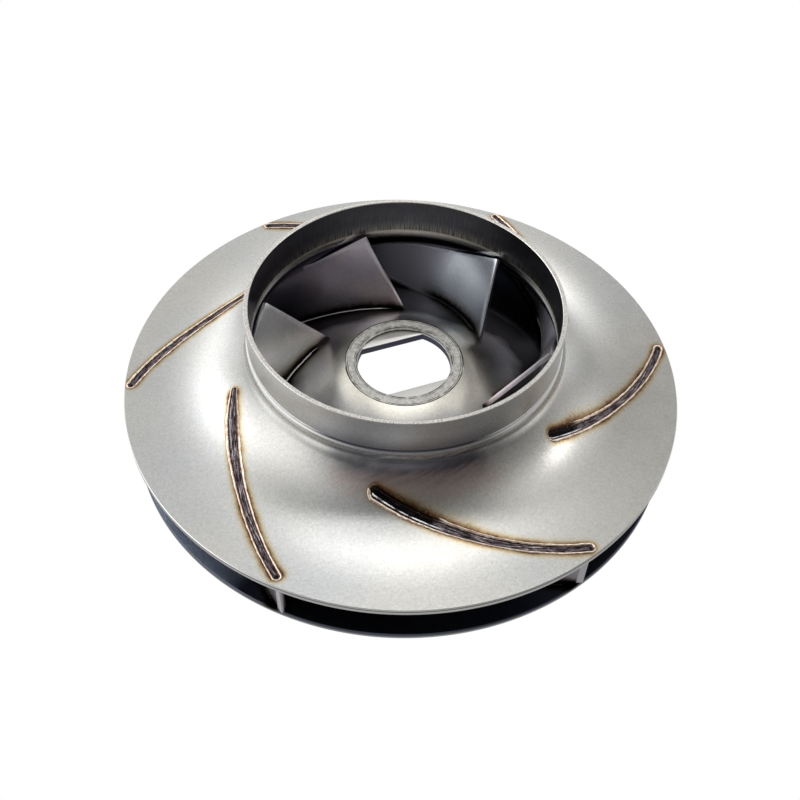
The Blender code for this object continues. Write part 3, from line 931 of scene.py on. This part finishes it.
hub_plate = disc("hub_plate_double_d", HUB_RADIUS, plate_high.z - plate_low.z)
bore_tool = disc("bore tool", PLATE_BORE, 0.01)
bpy.ops.object.mode_set(mode="EDIT")
flat_way = Vector((-math.sin(FLATS_ANGLE), math.cos(FLATS_ANGLE), 0))
for side in (1, -1):
    bpy.ops.mesh.select_all(action="SELECT")
    bpy.ops.mesh.bisect(plane_co=flat_way * side * ACROSS_FLATS / 2, plane_no=flat_way * side,
                        clear_outer=True, use_fill=True)
bpy.ops.object.mode_set(mode="OBJECT")
mill(hub_plate, bore_tool)
round_off(hub_plate, PLATE_ROUND, 40)
smooth(hub_plate)
hub_plate.data.materials.clear()
hub_plate.data.materials.append(hub_finish)
painted(hub_plate, "drop", [plate_high.z - corner.co.z for corner in hub_plate.data.vertices])
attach(hub_plate, "root")
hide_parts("hub_plate")


# The six vanes are 1.5 mm sheet, rolled to a curve. Behind the eye they stand upright, and towards
# the leading edge the foot runs ahead of the top, so the blade twists.

VANE_SHEET = 0.0015
VANE_END = 0.0834
EDGE_TOP = (0.0439, 108.4, 0.0347)
EDGE_FOOT_RADIUS = 0.0279
TAB_START = 0.0497
LEAN_SHAPE = 1.5
VANE_ROUND = 0.00012
SEATED = 0.0001
EDGE_STEPS = 14
TAB_STEPS = 50
ACROSS_CUTS = 15

# The bead along the foot: half its thickness, its steps, where it ends, and how far it rises and wanders
ROOT_BEAD = 0.00036
ROOT_STEPS = 60
ROOT_END = 0.062
ROOT_RISE = 0.00006
ROOT_WANDER = 0.00010

# How brown each vane looks: 0 bluish, 0.5 plain grey, 1 purple brown
VANE_TONES = (1.0, 0.5, 0.6, 0.5, 0.7, 0.0)

# How matt each vane is beyond the eye
DEEP_MATT = (0.0, 0.0, 0.0, 0.0, 1.0, 1.0)

# How dark the outer half of each vane's leading edge is
FAR_EDGE = (0.6, 0.0, 0.0, 0.0, 0.0, 1.0)

# How bright the painted highlight on the weld that shows along each vane's foot is
FOOT_SHINE = (1.0, 1.0, 0.3, 0.3, 0.1, 0.15)


def foot_radius(radius):
    if radius >= LEAN_END:
        return radius
    share = (LEAN_END - radius) / (LEAN_END - EDGE_TOP[0])
    return radius - (EDGE_TOP[0] - EDGE_FOOT_RADIUS) * share ** LEAN_SHAPE


def at_height(point, height):
    return Vector((point.x, point.y, height))


def foot_place(radius):
    reach = foot_radius(radius)
    return at_height(plan_point(reach, foot_angle(reach)), back_top(reach) - SEATED)


def top_place(radius):
    return at_height(plan_point(radius, vane_angle(radius)), front_under(radius) + SEATED)


def root_bead(side):
    """The thin bead that the weld pushes through along one side of the vane's foot."""
    points = [plan_point(r, foot_angle(r)) for r in spread(EDGE_FOOT_RADIUS + 0.0015, ROOT_END, ROOT_STEPS)]
    line = []
    for i, point in enumerate(points):
        along = (points[min(i + 1, ROOT_STEPS)] - points[max(i - 1, 0)]).normalized()
        aside = Vector((-along.y, along.x, 0))
        off = side * (VANE_SHEET / 2 + VANE_ROUND + ROOT_WANDER * math.sin(i * 0.9 + side))
        line.append(at_height(point + aside * off, back_top(point.length) + ROOT_RISE))
    bead = line_piece("root bead", line)
    bpy.ops.object.mode_set(mode="OBJECT")
    bpy.ops.object.convert(target="CURVE")
    bead.data.bevel_depth = ROOT_BEAD
    bead.data.bevel_resolution = 1
    bpy.ops.object.convert(target="MESH")
    return bead


def far_share(point):
    """1 at the leading edge's corner on the vane's outer side, and 0 elsewhere."""
    edge = edge_corner - foot_line[0]
    nearest = foot_line[0] + edge * ((point - foot_line[0]).dot(edge) / edge.length_squared)
    along = (plan_point(0.034, foot_angle(0.034)) - plan_point(0.028, foot_angle(0.028))).normalized()
    off = point - nearest
    return float(off.length < 0.0010 and off.dot(Vector((along.y, -along.x, 0))) > 0.0)


edge_corner = at_height(plan_point(*EDGE_TOP[:2]), EDGE_TOP[2])
tab_corner = at_height(plan_point(TAB_START, vane_angle(TAB_START)), front_under(TAB_START) - 0.0003)
edge_radii = spread(EDGE_TOP[0], TAB_START, EDGE_STEPS)[:-1]
tab_radii = spread(TAB_START, VANE_END, TAB_STEPS)
top_line = [edge_corner.lerp(tab_corner, i / EDGE_STEPS) for i in range(EDGE_STEPS)]
top_line += [top_place(r) for r in tab_radii]
foot_line = [foot_place(r) for r in edge_radii + tab_radii]
first_vane = line_piece("vane", foot_line, top_line)
bpy.ops.mesh.select_all(action="SELECT")
bpy.ops.mesh.bridge_edge_loops(number_cuts=ACROSS_CUTS, interpolation="LINEAR")
close_up()
sheet = first_vane.modifiers.new("sheet", "SOLIDIFY")
sheet.thickness = VANE_SHEET
sheet.offset = 0
round_off(first_vane, VANE_ROUND, 50)
smooth(first_vane)
blade_corners = len(first_vane.data.vertices)
joined(first_vane, root_bead(1), root_bead(-1))

corners = np.array([corner.co for corner in first_vane.data.vertices])
reaches = np.hypot(corners[:, 0], corners[:, 1])
painted(first_vane, "rise", [z - back_top(r) for r, z in zip(reaches, corners[:, 2])])
painted(first_vane, "sink", [front_under(r) - z if r > TAB_START - 0.0005 else 0.01
                             for r, z in zip(reaches, corners[:, 2])])
beaded = [float(i >= blade_corners) for i in range(len(corners))]
painted(first_vane, "bead", beaded)
far_corners = [far_share(corner.co) for corner in first_vane.data.vertices]
painted(first_vane, "trim", [float(i < blade_corners and r > VANE_END - 0.0002)
                             for i, r in enumerate(reaches)])

# Colors of a vane: by its tone and where it is flushed, by the height over its foot, darkened by heat tint
# and painted shade, and by the depth under its top, as a share of the two reaches, and on the parts
# that the names say, with a painted highlight on the foot's bead
TONE_STOPS = ((0.0, (0.78, 0.83, 0.90)), (0.5, (0.60, 0.60, 0.60)), (1.0, (0.74, 0.68, 0.76)))
FLUSH = (0.82, 0.72, 0.74, 1)
FOOT_REACH = 0.006
FOOT_STOPS = ((0.00, (0.02, 0.018, 0.02)), (0.20, (0.04, 0.032, 0.03)), (0.32, (0.36, 0.31, 0.29)),
              (0.55, (0.82, 0.79, 0.76)), (0.95, (1.0, 1.0, 1.0)))
TOP_REACH = 0.003
TOP_STOPS = ((0.00, (0.10, 0.09, 0.09)), (0.40, (0.50, 0.44, 0.42)), (0.9, (1.0, 1.0, 1.0)))
DEEP_BLADE = (0.45, 0.45, 0.52, 1)
DARK_EDGE = (0.05, 0.05, 0.06, 1)
MATT_BLADE = (0.70, 0.70, 0.80, 1)
DARK_BEAD = (0.05, 0.045, 0.045, 1)
BRIGHT_BEAD = (1.0, 0.98, 0.95, 1)
TRIMMED_END = (0.74, 0.71, 0.74, 1)

vane_finish, shader, place = new_finish("rolled vane steel")
radius = off_radius(place)
tone = painted_wire(place, "tone")
rise = painted_wire(place, "rise") + unrest(place, 400, 3, 0.0016)
sink = painted_wire(place, "sink") + unrest(place, 400, 3, 0.0016)
flushed = tone * noise(place, 60, 2).step(0.46, 0.60)
plain = sheen(place, flushed.mix(tone.ramp(*TONE_STOPS), FLUSH), 0.22)
# Painted shade with heat tint: the vane is near black in the corner at its foot
blade_color = plain.times((rise / FOOT_REACH).ramp(*FOOT_STOPS)).times((sink / TOP_REACH).ramp(*TOP_STOPS))
blade_color = (tone * radius.step(0.042, 0.050)).mix(blade_color, DEEP_BLADE, "MULTIPLY")
blade_color = painted_wire(place, "far edge").step(0.30, 0.50).mix(blade_color, DARK_EDGE)
matt = painted_wire(place, "matt") * radius.step(0.046, 0.052) * (1.0 - radius.step(0.058, 0.063))
blade_color = matt.mix(blade_color, MATT_BLADE)
shine = painted_wire(place, "shine")
trim = painted_wire(place, "trim").step(0.3, 0.7)
# Painted highlight on the foot's bead, less metallic where bright, and painted shade where it has none
blade_color = painted_wire(place, "bead").mix(blade_color, shine.mix(DARK_BEAD, BRIGHT_BEAD))
feed(shader, "Base Color", trim.mix(blade_color, TRIMMED_END))
feed(shader, "Metallic", 1.0 - shine * 0.8 - trim * 0.7 - matt * 0.65)
feed(shader, "Roughness", satin(place, 0.30))
feed(shader, "Normal", grain(place))
first_vane.data.materials.append(vane_finish)
for index in range(VANE_COUNT):
    vane = first_vane.copy()
    vane.data = first_vane.data.copy()
    vane.name = vane.data.name = f"vane_{index + 1}_blade"
    vane.data.transform(Matrix.Rotation(index * VANE_TURN, 4, "Z"))
    painted(vane, "tone", [VANE_TONES[index]] * len(corners))
    painted(vane, "far edge", [share * FAR_EDGE[index] for share in far_corners])
    painted(vane, "matt", [DEEP_MATT[index]] * len(corners))
    painted(vane, "shine", [share * FOOT_SHINE[index] for share in beaded])
    bpy.context.scene.collection.objects.link(vane)
    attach(vane, "root")
    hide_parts(f"vane_{index + 1}")
bpy.data.objects.remove(first_vane)


# Each vane is fused to the shroud from outside by a weld that melts the slot's edges: a sunken dark
# rope of metal between two bright rolled edges. Near the eye some welds burned to a black trough.

BEAD_ROWS = 300
BEAD_DEPTH = 0.0013
LINE_SAMPLES = 600

# Half of a bead in section: share of the half width, which shows up to BEAD_SHOWS, and height in mm
BEAD_SHOWS = 0.94
BEAD_SECTION = (
    (-1.00, -0.20), (-0.96, -0.05), (-0.91, 0.12), (-0.84, 0.22), (-0.76, 0.24), (-0.68, 0.18),
    (-0.60, 0.05), (-0.52, -0.16), (-0.44, -0.30), (-0.32, -0.22), (-0.18, -0.14), (-0.06, -0.24),
    (0.00, -0.28),
)

# Width of each front weld in mm, at even steps from its inner to its outer end
BEAD_WIDTHS = (
    (2.6, 3.4, 3.4, 3.1, 3.3, 3.3, 3.2),
    (1.9, 4.4, 4.2, 3.3, 3.1, 3.0, 2.8),
    (4.4, 4.5, 3.8, 3.2, 3.1, 3.2, 3.2),
    (3.5, 3.7, 3.3, 3.0, 3.0, 3.2, 3.2),
    (3.0, 3.2, 3.0, 2.9, 3.0, 3.0, 2.9),
    (3.0, 3.2, 3.0, 2.9, 3.0, 3.0, 2.9),
)
BACK_WIDTHS = (3.0, 3.0)

# For each front weld: how deep its trough is in mm, how far it runs in mm, and how much of it is black
TROUGHS = ((0.0, 5, 0.0), (0.25, 18, 0.35), (0.70, 21, 1.0), (0.60, 12, 1.0), (0.1, 5, 0.3), (0.1, 5, 0.3))
NO_TROUGH = (0.0, 5, 0.0)


def bead(name, angle_at, reach, height_at, widths, trough, seed, side=1):
    """A weld bead: a grid is laid along the slot, shaped across it and rippled, then given depth."""
    across = [share for share, _ in BEAD_SECTION] + [-share for share, _ in reversed(BEAD_SECTION[:-1])]
    rows, columns = BEAD_ROWS, len(across)
    pick()
    bpy.ops.mesh.primitive_grid_add(x_subdivisions=columns - 1, y_subdivisions=rows - 1, size=1)
    piece = named(name)
    waves = np.random.default_rng(seed).uniform(0, math.tau, 12)
    radii = np.linspace(reach[0], reach[1], LINE_SAMPLES)
    angles = np.radians([angle_at(r) for r in radii])
    line = np.stack([radii * np.cos(angles), radii * np.sin(angles)], 1)
    run = np.concatenate([[0], np.cumsum(np.linalg.norm(np.diff(line, axis=0), axis=1))])
    along = np.linspace(0, run[-1], rows)
    middle = np.stack([np.interp(along, run, line[:, i]) for i in (0, 1)], 1)
    way = np.gradient(middle, axis=0)
    way /= np.linalg.norm(way, axis=1)[:, None]
    aside = np.stack([-way[:, 1], way[:, 0]], 1)
    half = np.interp(along / along[-1], np.linspace(0, 1, len(widths)), widths) / 2000 / BEAD_SHOWS
    from_end = np.minimum(along, along[-1] - along)
    overrun = np.clip(1 - from_end / half, 0, 0.99)
    ends = np.sqrt(1 - overrun ** 2)
    depth, reach_mm, black = trough
    hollow = np.clip((reach_mm / 1000 - along) / 0.004 + 0.5, 0, 1)
    places = np.zeros((rows, columns, 3))
    spots = np.zeros((rows, columns))
    for j, share in enumerate(across):
        edge = math.copysign(1, share)
        wobble = np.sin(along / 0.0017 + waves[0] + edge) + np.sin(along / 0.0007 + edge * waves[1])
        wobble = 0.030 * wobble + 0.015 * np.sin(along / 0.00031 + waves[2])
        width = half * ends * (1 + wobble * abs(share))
        plan = middle + aside * (share * width)[:, None]
        out = np.sqrt(overrun ** 2 + (share * ends) ** 2)
        core = np.clip(1 - (out / 0.50) ** 4, 0, 1)
        crest = np.exp(-((out - 0.76) / 0.14) ** 2)
        rope = 0.090 * np.cos(share * 13 + 1.2 * np.sin(along / 0.0024 + waves[3]))
        chevrons = 0.035 * np.sin(math.tau * along / 0.0008 + 3.0 * abs(share) + waves[4])
        lumps = 0.05 * np.sin(along / 0.00042 + edge * 2 + waves[5]) * np.sin(along / 0.0011 + waves[6])
        sunk = hollow * depth * np.clip((share + 0.30) / 0.35, 0, 1) * np.clip(1 - (out / 0.93) ** 6, 0, 1)
        height = np.interp(-out, *zip(*BEAD_SECTION))
        lift = (height + core * (rope + chevrons) + crest * lumps - sunk) / 1000
        level = np.array([height_at(r) for r in np.hypot(plan[:, 0], plan[:, 1])])
        places[:, j, :2] = plan
        places[:, j, 2] = level + side * lift
        spots[:, j] = out * edge
    piece.data.vertices.foreach_set("co", places.reshape(-1))
    piece.data.update()
    painted(piece, "across", spots.reshape(-1))
    painted(piece, "along", np.repeat(along, columns))
    painted(piece, "tail", np.repeat(along[-1] - along, columns))
    painted(piece, "soot", np.repeat(hollow * black, columns))
    bpy.ops.object.mode_set(mode="EDIT")
    bpy.ops.mesh.select_all(action="SELECT")
    draw_out((0, 0, -side * BEAD_DEPTH))
    close_up()
    smooth(piece, 60)
    return piece


# Colors of a bead: its rope, burned or not, a last bright ridge in the soot, the dark groove beside the
# rope, the rolled edges, and the crater at the outer end, which lies so many mm before the bead's end
ROPE_STOPS = ((0.40, (0.012, 0.009, 0.010)), (0.49, (0.06, 0.045, 0.05)), (0.57, (0.21, 0.17, 0.18)),
              (0.68, (0.75, 0.68, 0.68)))
BURNED_STOPS = ((0.50, (0.004, 0.003, 0.004)), (0.85, (0.05, 0.045, 0.05)))
RIDGE = (0.85, 0.84, 0.85, 1)
GROOVE = (0.03, 0.022, 0.02, 1)
ROLLED_STOPS = ((0.30, (0.62, 0.44, 0.34)), (0.55, (0.92, 0.75, 0.62)), (0.75, (1.0, 0.93, 0.85)))
CRATER = (0.01, 0.01, 0.01, 1)
CRATER_PLACE = 1.5

weld_finish, shader, place = new_finish("ropy weld metal")
across = painted_wire(place, "across")
along = painted_wire(place, "along")
soot = painted_wire(place, "soot")
rough_spot = (noise(place, 1100, 3, 0.7) - 0.5) * 0.26
spot = across.math("ABSOLUTE") + rough_spot
streak_place = place.node("CombineXYZ", None, {0: along * 260, 1: across * 5})
streaks = noise(streak_place, 1.0, 4, 0.7)
ridge = 1.0 - ((across + 0.26).math("ABSOLUTE") + rough_spot * 0.3).step(0.05, 0.13)
core = soot.mix(streaks.ramp(*ROPE_STOPS), streaks.ramp(*BURNED_STOPS))
core = (ridge * soot * noise(place, 500, 2).step(0.36, 0.50)).mix(core, RIDGE)
cream = noise(place, 700, 3).ramp(*ROLLED_STOPS)
worn = 1.0 - soot * across.step(0.1, 0.4) * noise(place, 1000, 2).step(0.74, 0.62)
rolled = spot.step(0.52, 0.62) * (1.0 - spot.step(0.88, 0.96)) * worn
color = rolled.mix(spot.step(0.40, 0.48).mix(core, GROOVE), cream)
tail = painted_wire(place, "tail") * 1000 - CRATER_PLACE
crater = (across * across * 2.2 + tail * tail).math("SQRT").step(0.7, 0.4)
feed(shader, "Base Color", crater.mix(color, CRATER))
feed(shader, "Roughness", rolled * -0.10 + 0.38)
feed(shader, "Normal", bump(noise(place, 1500, 3), PIT_DEPTH))
for index, widths in enumerate(BEAD_WIDTHS):
    front = bead(f"front_weld_{index + 1}_bead", lambda r: weld_angle(r, index), FRONT_WELDS[index][3:],
                 front_top, widths, TROUGHS[index], index)
    back = bead(f"back_weld_{index + 1}_bead", lambda r: foot_line_angle(r, index), BACK_WELD,
                lambda r: max(back_top(r) - BACK_SHEET, 0.0002), BACK_WIDTHS, NO_TROUGH, 20 + index, -1)
    for side, weld in (("front", front), ("back", back)):
        weld.data.materials.append(weld_finish)
        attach(weld, "root")
        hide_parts(f"{side}_weld_{index + 1}")
